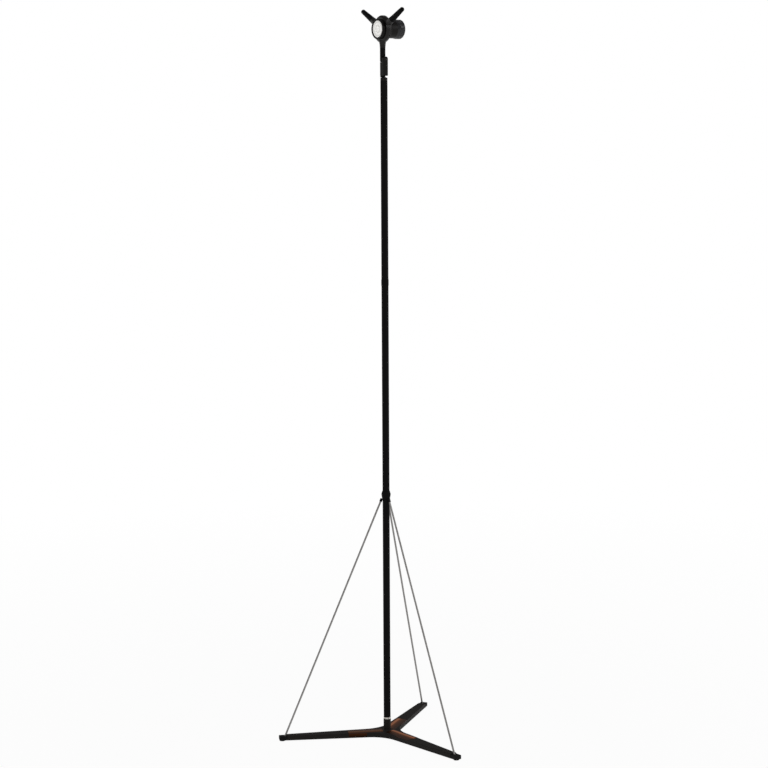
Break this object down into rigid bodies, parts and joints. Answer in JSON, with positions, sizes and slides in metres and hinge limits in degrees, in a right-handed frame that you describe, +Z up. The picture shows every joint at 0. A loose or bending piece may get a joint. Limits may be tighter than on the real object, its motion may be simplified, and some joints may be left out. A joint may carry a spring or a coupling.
{
  "type": "floor lamp",
  "caption": "Tall spotlight floor lamp: slim stayed pole on a low three-legged base, with a round lamp head in a yoke that pans and tilts and two grab handles",
  "frame": {"origin": "on the floor under the pole's axis, in the middle of the hub pad", "axes": "+Z up along the pole, the lamp faces -Y at rest, +X to the right of the lamp seen from above with -Y in front"},
  "size_m": [0.4722, 0.5289, 1.9841],
  "materials": {
    "black_paint": "satin black powder coat on steel and die-cast aluminium",
    "black_alloy": "satin black powder coat on aluminium",
    "copper": "dull copper-coloured satin bar",
    "black_plastic": "moulded black plastic",
    "rubber": "soft black rubber pads",
    "bright_steel": "plain zinc-plated or brushed steel",
    "stay_steel": "drawn steel rod",
    "dark_steel": "blackened steel",
    "nylon": "black nylon washers",
    "lens_glass": "frosted pressed glass",
    "mirror_finish": "bright spun aluminium reflector",
    "board": "white light board with its emitter",
    "heat_film": "grey heat-conducting film",
    "sink_aluminium": "die-cast aluminium, dark coat",
    "lead_cover": "black sheathed lead"
  },
  "bodies": {
    "stand": {"accent_front": "copper", "accent_rear": "copper", "accent_right": "copper", "cord_gland": "black_plastic", "foot_front": "rubber", "foot_rear": "rubber", "foot_right": "rubber", "hub_casting": "black_paint", "hub_pad": "rubber", "joint_sleeve": "black_paint", "leg_front": "black_paint", "leg_rear": "black_paint", "leg_right": "black_paint", "leg_screws": "bright_steel", "lower_joint": "dark_steel", "lower_tube": "black_paint", "middle_tube": "black_paint", "pan_washer": "nylon", "pipe_nut": "bright_steel", "pole_lead": "lead_cover", "pole_plug": "dark_steel", "pole_ring": "bright_steel", "stay_collar": "black_paint", "stay_front": "stay_steel", "stay_nipples": "bright_steel", "stay_rear": "stay_steel", "stay_right": "stay_steel", "threaded_pipe": "bright_steel", "tip_front": "black_plastic", "tip_rear": "black_plastic", "tip_right": "black_plastic", "top_bush": "dark_steel", "upper_joint": "dark_steel", "upper_tube": "black_paint"},
    "swivel": {"knuckle": "black_paint", "pan_nut": "bright_steel", "tilt_pin": "dark_steel", "tilt_nut": "dark_steel", "tilt_washer": "nylon"},
    "head": {"stem": "black_paint", "yoke": "black_alloy", "handle_right": "black_alloy", "handle_left": "black_alloy", "yoke_screws": "bright_steel", "barrel": "black_alloy", "bezel": "black_alloy", "lens": "lens_glass", "reflector": "mirror_finish", "light_board": "board", "heat_pad": "heat_film", "heat_sink": "sink_aluminium", "rear_cap": "black_alloy", "rear_screws": "bright_steel", "head_lead": "lead_cover"}
  },
  "joints": [
    {"name": "pan", "type": "hinge", "parent": "stand", "child": "swivel", "pos_m": [0, 0, 1.785], "axis": [0, 0, 1], "range_deg": [-175, 175]},
    {"name": "tilt", "type": "hinge", "parent": "swivel", "child": "head", "pos_m": [-0.005, 0, 1.8503], "axis": [1, 0, 0], "range_deg": [-90, 90]}
  ]
}
